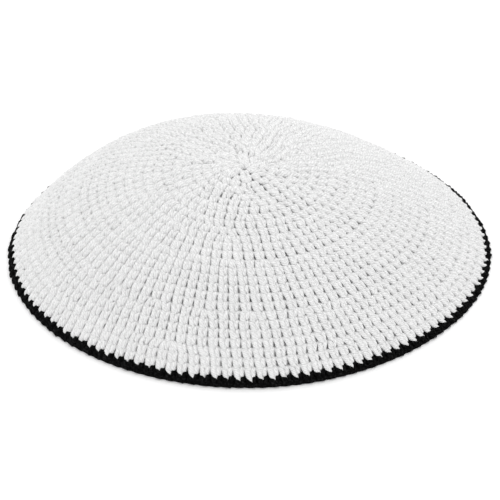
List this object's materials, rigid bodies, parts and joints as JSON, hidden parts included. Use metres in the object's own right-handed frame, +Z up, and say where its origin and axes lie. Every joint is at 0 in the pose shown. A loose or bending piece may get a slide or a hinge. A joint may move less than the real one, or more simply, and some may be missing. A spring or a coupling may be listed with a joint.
{
  "type": "crocheted kippah skullcap",
  "caption": "Shallow round skullcap crocheted in white yarn from the centre outwards, closed by a narrow black crocheted edge, hollow and open below.",
  "frame": {"origin": "middle of the cap's footprint, in the plane of the rim that it rests on", "axes": "+Z up through the dome, -Y towards the wearer's brow, +X to the wearer's left"},
  "size_m": [0.1716, 0.1703, 0.0376],
  "materials": {
    "crown_yarn": "matt white crocheted cotton",
    "edge_yarn": "matt black crocheted cotton"
  },
  "bodies": {
    "root": {"crown": "crown_yarn", "edge_band": "edge_yarn"}
  },
  "joints": []
}
